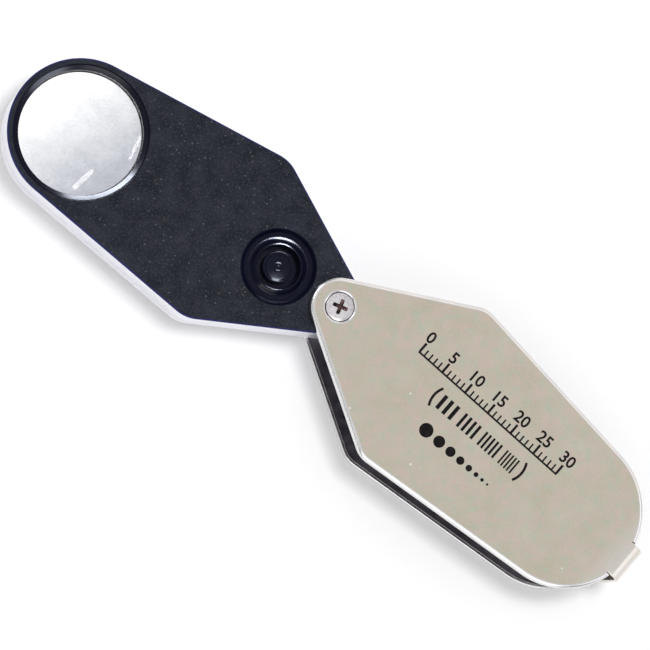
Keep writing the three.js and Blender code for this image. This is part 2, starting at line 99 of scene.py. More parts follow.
# Outlines are the hulls of circles (x, y, radius), counter-clockwise from the pivot end.
CASE_OUTLINE = [(0, 0, 4.85), (19.5, -11.55, 4.5), (49.8, 0, 12.9), (19.5, 11.55, 4.5)]
BODY_OUTLINE = [(0, 0, 4.6), (21.0, -9.35, 6.0), (50.4, 0, 12.07), (21.0, 9.35, 6.0)]
SHEET = 0.6  # thickness of the case's metal
PIVOT_BORE = 1.85  # radius of the holes that turn on the pivot post
SKIRT = 0.95  # inset of the walls that stand inside the side band
CUT_THROUGH = 20  # above every piece, where tools that cut right through may end


# ---------- outlines and profiles


def tangent(a, b):
    """The angle at which the line that touches circles a and b leaves them."""
    distance = math.hypot(b[0] - a[0], b[1] - a[1])
    return math.atan2(b[1] - a[1], b[0] - a[0]) - math.acos((a[2] - b[2]) / distance)


def outline(circles, inset):
    """The hull of the circles, drawn inward by inset, with its arcs in short steps."""
    step = math.radians(2.5)
    points = []
    for i, (x, y, r) in enumerate(circles):
        after = circles[(i + 1) % len(circles)]
        start = tangent(circles[i - 1], circles[i])
        turn = (tangent(circles[i], after) - start) % TAU
        count = max(4, round(turn / step))
        for k in range(count + 1):
            a = start + turn * k / count
            points.append((x + (r - inset) * math.cos(a), y + (r - inset) * math.sin(a)))
    return points


def rounded(corners, closed=False, steps=5):
    """A profile of (u, v, radius) corners as (u, v) points, each corner rounded."""
    points = []
    last = len(corners) - 1
    for i, (u, v, radius) in enumerate(corners):
        if radius <= 0 or (not closed and i in (0, last)):
            points.append((u, v))
            continue
        corner = Vector((u, v))
        back = Vector(corners[i - 1][:2]) - corner
        ahead = Vector(corners[(i + 1) % len(corners)][:2]) - corner
        half = back.angle(ahead) / 2
        longest = 0.48 * min(back.length, ahead.length)
        reach = min(radius / math.tan(half), longest)
        back.normalize()
        ahead.normalize()
        centre = corner + (back + ahead).normalized() * (reach / math.cos(half))
        first, final = corner + back * reach - centre, corner + ahead * reach - centre
        sweep = first.angle(final)
        for k in range(steps + 1):
            t = k / steps
            arm = first * math.sin((1 - t) * sweep) + final * math.sin(t * sweep)
            spot = centre + arm / math.sin(sweep)
            points.append((spot.x, spot.y))
    return points


def rectangle(x0, x1, y0, y1):
    return [(x0, y0), (x1, y0), (x1, y1), (x0, y1)]


def soft_rectangle(x0, x1, y0, y1, radius, steps=3):
    """A rectangle with rounded corners."""
    return rounded([(*corner, radius) for corner in rectangle(x0, x1, y0, y1)], True, steps)


# ---------- meshes


def place(thing):
    bpy.context.scene.collection.objects.link(thing)
    return thing


def make(name, verts, faces, slots=None):
    """A mesh object from points in millimetres, with its faces turned outward."""
    mesh = bpy.data.meshes.new(name)
    mesh.from_pydata([Vector(v) * MM for v in verts], [], faces)
    if slots:
        mesh.polygons.foreach_set("material_index", slots)
    work = bmesh.new()
    work.from_mesh(mesh)
    bmesh.ops.remove_doubles(work, verts=work.verts, dist=1e-7)
    bmesh.ops.recalc_face_normals(work, faces=work.faces)
    work.to_mesh(mesh)
    work.free()
    return place(bpy.data.objects.new(name, mesh))


def loft(name, rings, closed=False, caps=True, slot_of=None):
    """Joins rings of equally many points. slot_of(i) is the material slot of the band after
    ring i, and slot_of(-1) and slot_of(-2) are those of the first and last caps."""
    n = len(rings[0])
    verts = [p for ring in rings for p in ring]
    faces, slots = [], []
    for i in range(len(rings) if closed else len(rings) - 1):
        j = (i + 1) % len(rings)
        for k in range(n):
            m = (k + 1) % n
            faces.append((i * n + k, i * n + m, j * n + m, j * n + k))
            slots.append(slot_of(i) if slot_of else 0)
    if not closed and caps:
        base = (len(rings) - 1) * n
        faces.append(tuple(reversed(range(n))))
        faces.append(tuple(range(base, base + n)))
        slots += [slot_of(-1), slot_of(-2)] if slot_of else [0, 0]
    return make(name, verts, faces, slots)


def shelled(name, circles, profile, closed=False, slot_of=None):
    """Sweeps a profile of (inset, z) points round an outline."""
    rings = [[(x, y, z) for x, y in outline(circles, inset)] for inset, z in profile]
    return loft(name, rings, closed, True, slot_of)


def lathe(name, profile, x=0.0, y=0.0, closed=False, segments=128, slot_of=None):
    """Turns a profile of (radius, z) points about an upright axis at (x, y)."""
    rings = []
    for radius, z in profile:
        turn = [TAU * k / segments for k in range(segments)]
        rings.append([(x + radius * math.cos(a), y + radius * math.sin(a), z) for a in turn])
    return loft(name, rings, closed, False, slot_of)


def cylinder(name, radius, low, high, segments=128):
    return lathe(name, [(0, low), (radius, low), (radius, high), (0, high)], segments=segments)


def turned_ring(name, node, inner, outer, edges, x=0.0, segments=128):
    """A ring as tall as a node, its edges rounded: low inner, low outer, high outer, high inner."""
    lo, hi = box_mm(node)
    corners = rectangle(inner, outer, lo.z, hi.z)
    profile = rounded([(*corner, edge) for corner, edge in zip(corners, edges)], True, 3)
    return lathe(name, profile, x, closed=True, segments=segments)


def bar(name, x0, x1, y0, y1, low, high):
    return loft(name, [[(x, y, z) for x, y in rectangle(x0, x1, y0, y1)] for z in (low, high)])


def rounded_bar(name, x0, x1, y0, y1, low, high, corner, edge):
    """A slab with rounded corners in plan, and its top and bottom edges rounded."""
    plan = soft_rectangle(x0, x1, y0, y1, corner, 5)
    mid_x, mid_y = (x0 + x1) / 2, (y0 + y1) / 2
    half = ((x1 - x0) / 2, (y1 - y0) / 2)
    deep = min(half) / 2
    rings = []
    for inset, z in rounded([(deep, low, 0), (0, low, edge), (0, high, edge), (deep, high, 0)]):
        wide, tall = ((h - inset) / h for h in half)
        rings.append([(mid_x + (x - mid_x) * wide, mid_y + (y - mid_y) * tall, z) for x, y in plan])
    return loft(name, rings)


def dress(thing, finishes):
    """Gives a piece its finishes, one for each material slot."""
    for one in finishes:
        thing.data.materials.append(one)
    return thing


def carve(thing, *tools, operation="DIFFERENCE", slot=None):
    """Applies booleans to a dressed piece and removes the tools, whose faces take a slot."""
    for tool in tools:
        dress(tool, thing.data.materials)
        faces = tool.data.polygons
        if slot is not None:
            faces.foreach_set("material_index", [slot] * len(faces))
        step = thing.modifiers.new("carve", "BOOLEAN")
        step.operation = operation
        step.solver = "EXACT"
        step.object = tool
        graph = bpy.context.evaluated_depsgraph_get()
        mesh = bpy.data.meshes.new_from_object(thing.evaluated_get(graph))
        thing.modifiers.clear()
        old, thing.data = thing.data, mesh
        bpy.data.meshes.remove(old)
        bpy.data.objects.remove(tool)


def shade(thing, angle):
    """Smooth shading that keeps flat faces flat."""
    mesh = thing.data
    mesh.polygons.foreach_set("use_smooth", [True] * len(mesh.polygons))
    mesh.set_sharp_from_angle(angle=math.radians(angle))
    flat = thing.modifiers.new("flat faces", "WEIGHTED_NORMAL")
    flat.keep_sharp = True
    flat.weight = 90


def finish(thing, body, slot, nodes=(), finishes=(), angle=32):
    """Shades a piece, gives it its materials, and puts it on its body."""
    if not thing.data.materials:
        dress(thing, finishes)
    shade(thing, angle)
    if body != "case":
        thing.data.transform(OPENED)
    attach(thing, body)
    if nodes:
        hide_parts(*nodes)


# ---------- finishes


class Finish:
    """A node material that is read in the piece's own coordinates."""

    def __init__(self, name):
        self.material = bpy.data.materials.new(name)
        self.material.use_nodes = True
        self.tree = self.material.node_tree
        self.tree.nodes.clear()
        self.place = self.node("ShaderNodeTexCoord").outputs["Object"]

    def node(self, kind, inputs=None, **settings):
        made = self.tree.nodes.new(kind)
        for key, value in settings.items():
            setattr(made, key, value)
        for key, value in (inputs or {}).items():
            socket = made.inputs[key]
            if isinstance(value, bpy.types.NodeSocket):
                self.tree.links.new(value, socket)
            else:
                socket.default_value = value
        return made

    def stretched(self, size, turn=0.0):
        """Coordinates in units of size millimetres, a number or one for each axis."""
        sizes = size if isinstance(size, (tuple, list)) else (size,) * 3
        inputs = {"Vector": self.place, "Rotation": (0, 0, -turn)}
        turned = self.node("ShaderNodeMapping", inputs).outputs[0]
        scale = tuple(1 / (MM * s) for s in sizes)
        return self.node("ShaderNodeMapping", {"Vector": turned, "Scale": scale}).outputs[0]

    def noise(self, size, detail=3.0, turn=0.0, rough=0.5):
        inputs = {"Vector": self.stretched(size, turn), "Scale": 1.0, "Detail": detail}
        inputs["Roughness"] = rough
        return self.node("ShaderNodeTexNoise", inputs).outputs["Fac"]

    def levels(self, value, low, high, out_low=0.0, out_high=1.0):
        inputs = {"Value": value, "From Min": low, "From Max": high}
        inputs.update({"To Min": out_low, "To Max": out_high})
        return self.node("ShaderNodeMapRange", inputs).outputs[0]

    def cloud(self, size, detail, low=0.0, high=1.0):
        """Soft patches between low and high."""
        return self.levels(self.noise(size, detail), 0.3, 0.7, low, high)

    def math(self, operation, a, b=0.0):
        return self.node("ShaderNodeMath", {0: a, 1: b}, operation=operation).outputs[0]

    def specks(self, size, share, radius):
        """Small round marks of a given share of the cells of a grid."""
        cells = self.node("ShaderNodeTexVoronoi", {"Vector": self.stretched(size), "Scale": 1.0})
        near = self.levels(cells.outputs["Distance"], radius, radius * 0.5)
        pick = self.node("ShaderNodeSeparateColor", {"Color": cells.outputs["Color"]}).outputs[0]
        return self.math("MULTIPLY", near, self.levels(pick, 1 - share, 1 - share + 1e-3))

    def scratches(self, length, width, turn, share):
        streaks = self.noise((length, width, 1.0), 1.0, turn, 0.4)
        return self.levels(streaks, 0.72 - share, 0.74)

    def blend(self, factor, a, b):
        made = self.node("ShaderNodeMix", data_type="RGBA")
        for socket, value in ((made.inputs[0], factor), (made.inputs[6], a), (made.inputs[7], b)):
            if isinstance(value, bpy.types.NodeSocket):
                self.tree.links.new(value, socket)
            else:
                socket.default_value = (*value, 1.0) if socket.type == "RGBA" else value
        return made.outputs[2]

    def bump(self, height, distance, strength=1.0, normal=None):
        inputs = {"Height": height, "Distance": distance * MM, "Strength": strength}
        if normal:
            inputs["Normal"] = normal
        return self.node("ShaderNodeBump", inputs).outputs[0]

    def surface(self, **inputs):
        named = {key.replace("_", " "): value for key, value in inputs.items()}
        return self.node("ShaderNodeBsdfPrincipled", named).outputs[0]

    def mixed(self, factor, a, b):
        return self.node("ShaderNodeMixShader", {0: factor, 1: a, 2: b}).outputs[0]

    def done(self, shader):
        self.node("ShaderNodeOutputMaterial", {"Surface": shader})
        return self.material


BEND_SHEEN_FROM, BEND_SHEEN_TO = 58.5, 62.0  # where a painted sheen brightens the face towards the strap's bend


def nickel_face():
    f = Finish("nickel_face")
    grain = f.noise((0.5, 0.22, 0.5), 2.0)
    marks = f.scratches(9.0, 0.06, math.radians(35), 0.05)
    dots = f.specks(1.5, 0.035, 0.16)
    tone = f.blend(f.cloud(7.0, 4.0), (0.625, 0.565, 0.43), (0.695, 0.65, 0.54))
    blush = f.levels(f.noise(2.6, 4.0, 0.4, 0.6), 0.44, 0.62, 0.0, 0.95)
    tone = f.blend(blush, tone, (0.725, 0.595, 0.515))
    tone = f.blend(f.levels(f.noise(1.5, 3.0, 1.1), 0.5, 0.68, 0.0, 0.9), tone, (0.585, 0.625, 0.50))
    tone = f.blend(f.levels(grain, 0.35, 0.7, 0.0, 0.45), tone, (0.735, 0.69, 0.605))
    # Painted highlight: the face, and the strap joined to it, are painted lighter towards the strap's
    # bend.
    along = f.node("ShaderNodeSeparateXYZ", {0: f.place}).outputs[0]
    wear_and_sheen = f.levels(along, BEND_SHEEN_FROM * MM, BEND_SHEEN_TO * MM, 0.0, 0.55)
    tone = f.blend(wear_and_sheen, tone, (0.86, 0.83, 0.81))
    tone = f.blend(f.math("MULTIPLY", dots, 0.95), tone, (1.0, 1.0, 0.97))
    rough = f.cloud(3.0, 3.0, 0.24, 0.32)
    rough = f.math("SUBTRACT", rough, f.math("MULTIPLY", marks, 0.08))
    normal = f.bump(f.noise(0.16, 2.0), 0.004, 0.45)
    normal = f.bump(marks, 0.004, 0.5, normal)
    return f.done(f.surface(Base_Color=tone, Metallic=1.0, Roughness=rough, Normal=normal))


def polished(name, light, dark, rough, brushed=0.0, cloud_size=4.0, marked=0.4):
    """Bright metal with faint clouds, fine grain and a few scratches."""
    f = Finish(name)
    tone = f.blend(f.cloud(cloud_size, 4.0), dark, light)
    marks = f.scratches(6.0, 0.05, math.radians(20), 0.05)
    spread = f.cloud(1.2, 3.0, rough * 0.8, rough * 1.25)
    rough_map = f.math("ADD", spread, f.math("MULTIPLY", marks, 0.25 * marked))
    normal = f.bump(f.noise((0.4, 0.05, 0.05), 2.0), 0.003, 0.15 + brushed)
    normal = f.bump(marks, 0.003, marked, normal)
    return f.done(f.surface(Base_Color=tone, Metallic=1.0, Roughness=rough_map, Normal=normal))


def plastic(name, colour, rough, grain=0.2, depth=0.006, dust=0.0, specular=0.5, mottle=1.35):
    """Moulded plastic with a fine texture, slight clouding and, if wanted, dust."""
    f = Finish(name)
    second = tuple(min(1.0, c * mottle + 0.001) for c in colour)
    tone = f.blend(f.levels(f.noise(3.2, 4.0), 0.35, 0.7), colour, second)
    if dust:
        warm = tuple(c * k for c, k in zip(second, (1.3, 1.1, 1.05)))
        tone = f.blend(f.levels(f.noise(1.7, 3.0, 0.8), 0.5, 0.75, 0.0, 0.8), tone, warm)
        pale = tuple(c * 2.6 + 0.012 for c in colour)
        tone = f.blend(f.levels(f.noise(0.34, 1.0), 0.52, 0.78, 0.0, 0.9), tone, pale)
        fine = f.math("MULTIPLY", f.specks(0.62, dust, 0.24), 0.8)
        tone = f.blend(fine, tone, (0.125, 0.133, 0.135))
        tone = f.blend(f.math("MULTIPLY", f.specks(2.9, 0.10, 0.05), 0.95), tone, (0.5, 0.5, 0.52))
    rough_map = f.cloud(1.4, 3.0, rough * 0.88, min(1.0, rough * 1.15))
    normal = f.bump(f.noise(grain, 2.0), depth, 0.5)
    skin = f.surface(
        Base_Color=tone, Roughness=rough_map, Normal=normal, Specular_IOR_Level=specular
    )
    return f.done(skin)


def ink():
    f = Finish("print_ink")
    wear_and_sheen = f.levels(f.noise(0.8, 4.0), 0.45, 0.75)
    tone = f.blend(wear_and_sheen, (0.006, 0.005, 0.006), (0.016, 0.013, 0.013))
    rough = f.cloud(0.3, 2.0, 0.4, 0.6)
    return f.done(f.surface(Base_Color=tone, Roughness=rough, Specular_IOR_Level=0.12))


def optical_glass():
    """Clear glass that bends what is seen through it and lets light through to what is under it."""
    f = Finish("optical_glass")
    tint = f.blend(f.cloud(6.0, 2.0), (0.99, 0.99, 0.993), (0.975, 0.976, 0.98))
    bent = {"Color": tint, "Roughness": 0.0, "IOR": 1.5}
    clear = f.node("ShaderNodeBsdfRefraction", bent).outputs[0]
    open_way = f.node("ShaderNodeBsdfTransparent", {"Color": (0.98, 0.98, 0.985, 1)}).outputs[0]
    path = f.node("ShaderNodeLightPath").outputs
    straight = f.math("MAXIMUM", path["Is Shadow Ray"], path["Is Diffuse Ray"])
    return f.done(f.mixed(straight, clear, open_way))


def lens_shine():
    """The shine of a polished lens surface."""
    f = Finish("lens_shine")
    tone = f.blend(f.cloud(4.0, 2.0), (1.0, 0.97, 0.90), (1.0, 0.99, 0.95))
    shine = f.node("ShaderNodeBsdfGlossy", {"Color": tone, "Roughness": 0.03}).outputs[0]
    through = f.node("ShaderNodeBsdfTransparent", {"Color": (1, 1, 1, 1)}).outputs[0]
    facing = f.node("ShaderNodeFresnel", {"IOR": 1.42}).outputs[0]
    return f.done(f.mixed(facing, through, shine))


# Painted shade on the lens: the grey that tints what is seen through the lens, and how it deepens to
# one side.
PAINTED_SHADE_DEEP = (0.525, 0.535, 0.565)
PAINTED_SHADE_SLANT = math.radians(19)  # the painted shade deepens along the line that this turn brings onto X
PAINTED_SHADE_REACH = 9.0  # how far to either side of the lens centre the painted shade goes on deepening


def lens_coat():
    """The coated outer face of a lens, with dust and a smear, and painted shade: a cool grey tint on
    what is seen through it, deeper to one side.
    """
    f = Finish("lens_coat")
    turned = f.node("ShaderNodeMapping", {"Vector": f.place, "Rotation": (0, 0, PAINTED_SHADE_SLANT)})
    along = f.node("ShaderNodeSeparateXYZ", {0: turned.outputs[0]}).outputs[0]
    middle = LENS_CENTRE.x * math.cos(PAINTED_SHADE_SLANT) - LENS_CENTRE.y * math.sin(PAINTED_SHADE_SLANT)
    across = f.levels(along, (middle - PAINTED_SHADE_REACH) * MM, (middle + PAINTED_SHADE_REACH) * MM)
    cloud = f.math("ADD", across, f.levels(f.noise(6.0, 4.0, 0.6, 0.6), 0.2, 0.8, -0.2, 0.2))
    cloud = f.math("ADD", cloud, f.cloud(0.32, 2.0, -0.07, 0.07))
    # painted shade: the tint darkens what is seen through the lens towards one side
    tint = f.blend(f.levels(cloud, 0.05, 0.95), (1.0, 1.0, 0.97), PAINTED_SHADE_DEEP)
    through = f.node("ShaderNodeBsdfTransparent", {"Color": tint}).outputs[0]
    mirror = {"Color": (0.86, 0.84, 1.0, 1), "Roughness": 0.012}
    shine = f.node("ShaderNodeBsdfGlossy", mirror).outputs[0]
    dust = f.node("ShaderNodeBsdfDiffuse", {"Color": (0.9, 0.9, 0.93, 1)}).outputs[0]
    smear = f.levels(f.noise((7.0, 2.5, 4.0), 5.0, 0.6, 0.65), 0.4, 0.85, 0.0, 0.22)
    motes = f.math("ADD", f.math("MULTIPLY", f.specks(2.3, 0.2, 0.07), 0.9), smear)
    facing = f.node("ShaderNodeFresnel", {"IOR": 1.3}).outputs[0]
    return f.done(f.mixed(f.math("MINIMUM", motes, 1.0), f.mixed(facing, through, shine), dust))


def resin():
    f = Finish("lamp_resin")
    tone = f.blend(f.cloud(1.0, 2.0), (0.95, 0.95, 0.90), (0.99, 0.98, 0.92))
    return f.done(f.surface(Base_Color=tone, Roughness=0.06, Transmission_Weight=0.75, IOR=1.5))


def board():
    f = Finish("board_laminate")
    tracks = f.levels(f.noise((2.0, 0.5, 5.0), 0.0), 0.5, 0.52)
    tone = f.blend(tracks, (0.035, 0.16, 0.06), (0.06, 0.26, 0.10))
    weave = f.bump(f.noise((0.2, 0.2, 1.0), 1.0), 0.01, 0.3)
    return f.done(f.surface(Base_Color=tone, Roughness=0.35, Normal=weave, Coat_Weight=0.3))


FLOOR_GLOW = 0.155


def floor_finish():
    f = Finish("floor_paper")
    tone = f.blend(f.cloud(40.0, 3.0), (0.835, 0.835, 0.84), (0.85, 0.85, 0.85))
    paper = f.surface(
        Base_Color=tone,
        Roughness=0.9,
        Specular_IOR_Level=0.1,
        Emission_Color=(1, 1, 1, 1),
        Emission_Strength=FLOOR_GLOW,
    )
    return f.done(paper)


NICKEL = nickel_face()
EDGE = polished("nickel_rolled_edge", (0.84, 0.83, 0.83), (0.76, 0.75, 0.75), 0.20, -0.1)
# Painted shade: the plates' inner faces are a dark metal, the shade in the gap between the plates
# painted into their colour.
INSIDE_SHADE = polished("nickel_inside_painted_shade", (0.22, 0.205, 0.24), (0.15, 0.14, 0.165), 0.34)
# Painted shade: the countersink is clouded between bright metal and near-black, a broken dark ring of
# shade painted into its colour.
COUNTERSINK_SHADE = polished("screw_seat", (1.0, 0.97, 0.98), (0.03, 0.025, 0.03), 0.25, 0.0, 0.9)
# Painted shade: the screws' cross recesses are dark brown metal, the shade inside them painted into
# their colour.
RECESS_SHADE = polished("screw_recess_painted_shade", (0.16, 0.10, 0.09), (0.07, 0.04, 0.045), 0.30, 0.0, 0.6)
INK = ink()
CHROME = polished("screw_chrome", (1.0, 0.98, 0.99), (0.74, 0.69, 0.71), 0.13, 0.35, 0.5)
STEEL = polished("bright_steel", (0.74, 0.74, 0.75), (0.62, 0.62, 0.63), 0.22, 0.3)
NYLON = plastic("nylon", (0.80, 0.77, 0.69), 0.45)
FACEPLATE = plastic("faceplate_black", (0.0142, 0.0162, 0.0225), 0.52, 0.22, 0.02, 0.16, 0.08, 1.7)
GLOSS = plastic("gloss_black", (0.0025, 0.0032, 0.0110), 0.17, 0.5, 0.002, 0, 0.12)
BEZEL = plastic("bezel_black", (0.003, 0.003, 0.011), 0.24, 0.5, 0.004, 0, 0.20)
EDGE_BLACK = plastic("faceplate_edge", (0.010, 0.012, 0.095), 0.18, 0.5, 0.002, 0, 0.3)
DULL_BLACK = plastic("dull_black", (0.010, 0.010, 0.011), 0.6, 0.3, 0.01)
PLATED = polished("plated_side", (0.86, 0.86, 0.91), (0.80, 0.80, 0.86), 0.32, -0.11, 4.0, 0.12)
# Painted light: the rear shell and battery door are a brighter copy of the side band's plating,
# making up for the shaded floor that their low walls reflect.
PLATED_REAR_PAINTED_LIGHT = polished("plated_rear", (0.98, 0.97, 1.0), (0.92, 0.91, 0.95), 0.36, -0.11, 4.0, 0.12)
GLASS = optical_glass()
SHINE = lens_shine()
COAT = lens_coat()
RESIN = resin()
BOARD = board()
BRASS = polished("contact_brass", (0.80, 0.66, 0.36), (0.66, 0.50, 0.24), 0.28)
WIRE_RED = plastic("wire_red", (0.45, 0.03, 0.025), 0.4)
WIRE_BLACK = plastic("wire_black", (0.015, 0.015, 0.016), 0.4)


# ---------- case


RIM_DEPTH = 1.6  # height of the case's turned-down rim


def cover_shell(name, upper):
    """One plate of the case, with its rounded edge and turned-down rim."""
    top, rim = CASE_TOP, CASE_TOP - RIM_DEPTH
    under = top - SHEET
    corners = [(2.2, top, 0), (0, top, 0.7), (0, rim, 0.16), (SHEET, rim, 0.16)]
    corners += [(SHEET, under, 0.3), (2.2, under, 0)]
    profile = rounded(corners, steps=7)
    rim_end = max(k for k, (_, z) in enumerate(profile) if z < rim + 0.1)

    def slot_of(i):
        if i in (-1, 0):
            return 0
        return 1 if 0 < i < rim_end else 2

    if upper:
        return shelled(name, CASE_OUTLINE, profile, slot_of=slot_of)
    flipped = [(inset, CASE_TOP - z) for inset, z in profile]
    return shelled(name, CASE_OUTLINE, flipped, slot_of=slot_of)


STRAP_HALF = 3.2  # half of the strap's width
STRAP_ROOT = 59.0  # where the strap starts, inside the plates' round end
STRAP_BEND = 2.1  # outer radius of its two bends


def strap(name):
    """The bent strip that joins the plates, with its edges rounded."""
    half = SHEET / 2
    bend = STRAP_BEND - half
    reach = STRAP_REACH - 0.005 - half
    high, low = CASE_TOP - half, half
    path = [(STRAP_ROOT, high, 0), (reach, high, bend), (reach, low, bend), (STRAP_ROOT, low, 0)]
    path = rounded(path, steps=12)
    section = soft_rectangle(-STRAP_HALF, STRAP_HALF, -half, half, 0.14)
    rings = []
    for i, (x, z) in enumerate(path):
        before, after = path[max(i - 1, 0)], path[min(i + 1, len(path) - 1)]
        along = Vector((after[0] - before[0], after[1] - before[1])).normalized()
        across = Vector((-along.y, along.x))
        rings.append([(x + across.x * t, y, z + across.y * t) for y, t in section])
    return loft(name, rings)


CASE_FINISHES = [NICKEL, EDGE, INSIDE_SHADE, COUNTERSINK_SHADE]


def build_case():
    front = dress(cover_shell("case_front", True), CASE_FINISHES)
    back = dress(cover_shell("case_back", False), CASE_FINISHES)
    start, wide = 61.5, STRAP_HALF + 0.18  # of the notch in the rims that lets the strap through
    for plate, low, high in ((front, 12, 16), (back, -1, 3)):
        carve(plate, bar("notch", start, 80, -wide, wide, low, high), slot=1)
    top = CASE_TOP
    cone = [(0, top - 2, 0), (2.0, top - 2, 0), (2.0, top - SHEET, 0), (2.58, top - 0.03, 0.1)]
    cone += [(3.4, top + 0.1, 0), (3.4, top + 1, 0), (0, top + 1, 0)]
    hole = rounded(cone)
    lip = top - 0.12
    # The cone below the lip takes the countersink's painted shade.
    countersink = lathe("screw_hole", hole, slot_of=lambda i: 1 if hole[i + 1][1] > lip else 3)
    carve(front, countersink)
    spigot = [(0, -1, 0), (2.6, -1, 0), (2.46, 0.06, 0.1), (2.44, 2, 0), (0, 2, 0)]
    carve(back, lathe("spigot_hole", rounded(spigot)), slot=1)
    carve(front, strap("case_strap"), operation="UNION")
    carve(front, back, operation="UNION")
    front.name = "case_shell"
    finish(front, "case", "satin_nickel", ["cover_case"])


def cross_tool(x, y, top, reach, half, depth, turn, down=1):
    """A cross-head driver's shape, to cut a recess with. down is -1 for a screw seen from below."""
    tools = []
    for k in range(2):
        a = turn + k * TAU / 4
        along = Vector((math.cos(a), math.sin(a)))
        side = Vector((-along.y, along.x))
        rings = []
        for share, z in ((1.0, top + down * 0.6), (1.0, top), (0.45, top - down * depth)):
            r, h = reach * share, half * (0.6 + 0.4 * share)
            plan = soft_rectangle(-r, r, -h, h, h * 0.6)
            rings.append(
                [(x + along.x * u + side.x * v, y + along.y * u + side.y * v, z) for u, v in plan]
            )
        tools.append(loft("cross", rings))
    return tools


def build_pivot():
    neck = CASE_TOP - SHEET
    reach, foot, steps = 2.28, neck + 0.5, 10
    rise = SCREW_TOP - 0.01 - foot
    sphere = (rise**2 + reach**2) / (2 * rise)
    profile = [(0, 8.0), (0.8, 8.3), (0.8, neck)]
    profile += [(1.9, neck), (2.24, neck + 0.36), (2.3, neck + 0.43)]
    for i in range(steps + 1):
        r = reach * (1 - i / steps)
        profile.append((r, foot + rise - sphere + math.sqrt(sphere**2 - r**2)))
    screw = dress(lathe("pivot_screw_cross", profile), [CHROME, RECESS_SHADE])
    # The recess faces take slot 1, its painted shade.
    carve(screw, *cross_tool(0, 0, SCREW_TOP, 1.48, 0.32, 0.62, math.radians(18)), slot=1)
    finish(screw, "case", "screw_chrome", ["pivot_screw"], angle=28)

    corners = [
        (0, 0.12, 0), (1.3, 0.10, 0.3), (1.9, 0.0, 0.3), (2.38, 0.01, 0.1),
        (2.4, 0.65, 0), (3.0, 0.65, 0.05), (3.0, 1.2, 0.08), (1.75, 1.2, 0),
        (1.75, neck - 0.05, 0.05), (0.85, neck - 0.05, 0), (0.85, 7.0, 0),
        (0, 7.0, 0),
    ]
    rivet = lathe("pivot_rivet", rounded(corners, steps=3))
    finish(rivet, "case", "bright_steel", ["pivot_post"], [STEEL])
    edges = (0.05, 0.1, 0.1, 0.05)
    for node, finish_used, slot, wide in (
        ("rear_washer", NYLON, "nylon", 3.4),
        ("wave_washer", STEEL, "bright_steel", 3.3),
        ("front_washer", NYLON, "nylon", 3.4),
    ):
        washer = turned_ring(f"{node}_turned", node, PIVOT_BORE, wide, edges, segments=72)
        finish(washer, "case", slot, [node], [finish_used])


def arc_strip(x, y, radius, width, start, end, steps=14):
    outer, inner = [], []
    for k in range(steps + 1):
        a = start + (end - start) * k / steps
        outer.append((x + (radius + width / 2) * math.cos(a), y + (radius + width / 2) * math.sin(a)))
        inner.append((x + (radius - width / 2) * math.cos(a), y + (radius - width / 2) * math.sin(a)))
    return [[outer[k], outer[k + 1], inner[k + 1], inner[k]] for k in range(steps)]


def disc_points(x, y, radius, sides=28):
    return [
        (x + radius * math.cos(TAU * k / sides), y + radius * math.sin(TAU * k / sides))
        for k in range(sides)
    ]


def numeral(text, x, y, height):
    """The outline of a number as a flat mesh, centred at x with its foot at y."""
    curve = bpy.data.curves.new("numeral", "FONT")
    curve.body = text
    curve.align_x = "CENTER"
    curve.size = height * 1.42
    curve.resolution_u = 4
    curve.offset = 0.055
    letter = place(bpy.data.objects.new("numeral", curve))
    graph = bpy.context.evaluated_depsgraph_get()
    mesh = bpy.data.meshes.new_from_object(letter.evaluated_get(graph))
    bpy.data.objects.remove(letter)
    mesh.transform(Matrix.Translation((x, y, 0)))
    return mesh


def build_print():
    """Generic gauges printed on the case: a millimetre rule, bar groups and a row of dots."""
    flats = []
    start, foot, length = 14.6, 3.3, 30
    for i in range(length + 1):
        tall, wide = (1.7, 0.42) if i % 5 == 0 else (1.05, 0.28)
        flats.append(rectangle(start + i - wide / 2, start + i + wide / 2, foot, foot + tall))
    flats.append(rectangle(start - 0.16, start + length + 0.16, foot - 0.32, foot))
    x = 22.4
    for width, count in ((0.66, 3), (0.50, 4), (0.40, 5), (0.31, 5)):
        for _ in range(count):
            flats.append(rectangle(x, x + width, -1.9, 0.8))
            x += 2 * width
        x += 0.55
    for centre, facing in ((24.7, 180), (x - 3.1, 0)):
        ends = math.radians(facing - 30), math.radians(facing + 30)
        flats += arc_strip(centre, -0.55, 3.7, 0.44, *ends)
    x, row = 22.6, -5.7
    for diameter in (2.4, 2.0, 1.7, 1.4, 1.1, 0.8, 0.6, 0.4):
        flats.append(disc_points(x + diameter / 2, row, diameter / 2))
        x += diameter + 0.62
    verts, faces = [], []
    for points in flats:
        faces.append(tuple(range(len(verts), len(verts) + len(points))))
        verts += [(px, py, 0) for px, py in points]
    plain = make("print_flats", verts, faces)
    whole = bmesh.new()
    whole.from_mesh(plain.data)
    bpy.data.objects.remove(plain)
    for mark in range(0, length + 1, 5):
        letters = numeral(str(mark), start + mark, foot + 2.0, 1.95)
        letters.transform(Matrix.Scale(MM, 4))
        whole.from_mesh(letters)
        bpy.data.meshes.remove(letters)
    for face in whole.faces:
        if face.normal.z < 0:
            face.normal_flip()
    mesh = bpy.data.meshes.new("case_print")
    whole.to_mesh(mesh)
    whole.free()
    mesh.transform(Matrix.Translation((0, 0, (CASE_TOP + 0.012) * MM)))
    thing = place(bpy.data.objects.new("case_print", mesh))
    mesh.materials.append(INK)
    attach(thing, "case")


# ---------- housing of the lens unit


